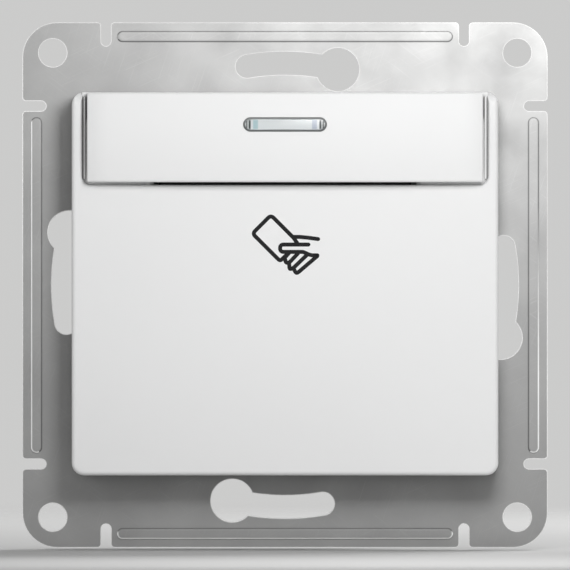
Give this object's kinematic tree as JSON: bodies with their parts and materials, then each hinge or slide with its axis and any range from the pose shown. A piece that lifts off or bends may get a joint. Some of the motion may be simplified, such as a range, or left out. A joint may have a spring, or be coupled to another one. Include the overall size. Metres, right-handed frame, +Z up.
{
  "type": "hotel key card switch",
  "caption": "Wall-mounted key card switch: steel support plate, white cover with a card slot under a hood, lens, sprung lever, changeover contact, screw terminals and claws.",
  "frame": {"origin": "centre of the support plate, on its rear face, where the wall is", "axes": "+X right as seen from the room, +Y into the wall, +Z up"},
  "size_m": [0.071, 0.0369, 0.071],
  "materials": {
    "zinc_steel": "satin zinc plating",
    "terminal_steel": "bright zinc plating",
    "white_plastic": "glossy",
    "clear_plastic": "clear moulded",
    "grey_plastic": "fine matt",
    "black_plastic": "matt",
    "spring_steel": "drawn wire",
    "brass": "stamped strip",
    "silver": "satin silver",
    "board_laminate": "satin resist",
    "resistor_enamel": "glossy enamel"
  },
  "bodies": {
    "switch_base": {"support_plate": "zinc_steel", "cover_plate": "white_plastic", "card_hood": "white_plastic", "indicator_lens": "clear_plastic", "light_guide": "clear_plastic", "led_board": "board_laminate", "led_lamp": "clear_plastic", "led_resistor": "resistor_enamel", "board_pins": "brass", "mechanism_carrier": "grey_plastic", "housing_screws": "zinc_steel", "rear_housing": "grey_plastic", "lever_pin": "zinc_steel", "lever_spring": "spring_steel", "contact_spring": "spring_steel", "fixed_tips": "silver", "terminal_first": "brass", "terminal_common": "brass", "terminal_third": "brass", "claw_pins": "zinc_steel"},
    "card_lever": {"card_lever": "black_plastic"},
    "contact_plunger": {"contact_plunger": "black_plastic"},
    "moving_contact": {"contact_blade": "brass", "blade_tip": "silver"},
    "clamp_first": {"clamp_first": "terminal_steel"},
    "terminal_screw_first": {"terminal_screw_first": "terminal_steel"},
    "clamp_common": {"clamp_common": "terminal_steel"},
    "terminal_screw_common": {"terminal_screw_common": "terminal_steel"},
    "clamp_third": {"clamp_third": "terminal_steel"},
    "terminal_screw_third": {"terminal_screw_third": "terminal_steel"},
    "claw_left": {"claw_left": "zinc_steel"},
    "claw_screw_left": {"claw_screw_left": "zinc_steel"},
    "claw_right": {"claw_right": "zinc_steel"},
    "claw_screw_right": {"claw_screw_right": "zinc_steel"}
  },
  "joints": [
    {"name": "card_lever_hinge", "type": "hinge", "parent": "switch_base", "child": "card_lever", "pos_m": [0, -0.0046, 0.002], "axis": [-1, 0, 0], "range_deg": [0, 6], "stiffness_Nm_per_rad": 0.07, "springref_deg": -11.46, "deforming": ["lever_spring"]},
    {"name": "plunger_slide", "type": "slide", "parent": "switch_base", "child": "contact_plunger", "axis": [0, 1, 0], "range_m": [0, 0.00068]},
    {"name": "moving_contact_hinge", "type": "hinge", "parent": "switch_base", "child": "moving_contact", "pos_m": [0, 0.0044, 0.0059], "axis": [-1, 0, 0], "range_deg": [0, 15.05], "stiffness_Nm_per_rad": 0.002, "springref_deg": -28.65, "deforming": ["contact_spring"]},
    {"name": "terminal_screw_first_turn", "type": "hinge", "parent": "switch_base", "child": "terminal_screw_first", "pos_m": [-0.013, 0.0165, -0.015], "axis": [0, 0, 1], "range_deg": [0, 1584.1]},
    {"name": "clamp_first_slide", "type": "slide", "parent": "switch_base", "child": "clamp_first", "axis": [0, 0, -1], "range_m": [0, 0.0022]},
    {"name": "terminal_screw_common_turn", "type": "hinge", "parent": "switch_base", "child": "terminal_screw_common", "pos_m": [0, 0.0165, -0.015], "axis": [0, 0, 1], "range_deg": [0, 1584.1]},
    {"name": "clamp_common_slide", "type": "slide", "parent": "switch_base", "child": "clamp_common", "axis": [0, 0, -1], "range_m": [0, 0.0022]},
    {"name": "terminal_screw_third_turn", "type": "hinge", "parent": "switch_base", "child": "terminal_screw_third", "pos_m": [0.013, 0.0165, -0.015], "axis": [0, 0, 1], "range_deg": [0, 1584.1]},
    {"name": "clamp_third_slide", "type": "slide", "parent": "switch_base", "child": "clamp_third", "axis": [0, 0, -1], "range_m": [0, 0.0022]},
    {"name": "claw_screw_left_turn", "type": "hinge", "parent": "switch_base", "child": "claw_screw_left", "pos_m": [-0.02453, 0, 0], "axis": [0, 1, 0], "range_deg": [0, 1795.1]},
    {"name": "claw_left_swing", "type": "hinge", "parent": "switch_base", "child": "claw_left", "pos_m": [-0.0186, 0.0035, 0], "axis": [0, 0, 1], "range_deg": [0, 24]},
    {"name": "claw_screw_right_turn", "type": "hinge", "parent": "switch_base", "child": "claw_screw_right", "pos_m": [0.02453, 0, 0], "axis": [0, 1, 0], "range_deg": [0, 1795.1]},
    {"name": "claw_right_swing", "type": "hinge", "parent": "switch_base", "child": "claw_right", "pos_m": [0.0186, 0.0035, 0], "axis": [0, 0, -1], "range_deg": [0, 24]}
  ],
  "couplings": [
    {"joint": "card_lever_hinge", "follows": "plunger_slide", "rad_per_m": 153.85},
    {"joint": "moving_contact_hinge", "follows": "plunger_slide", "rad_per_m": 384.62},
    {"joint": "terminal_screw_first_turn", "follows": "clamp_first_slide", "rad_per_m": 12566},
    {"joint": "terminal_screw_common_turn", "follows": "clamp_common_slide", "rad_per_m": 12566},
    {"joint": "terminal_screw_third_turn", "follows": "clamp_third_slide", "rad_per_m": 12566},
    {"joint": "claw_screw_left_turn", "follows": "claw_left_swing", "ratio": 74.792},
    {"joint": "claw_screw_right_turn", "follows": "claw_right_swing", "ratio": 74.792}
  ]
}
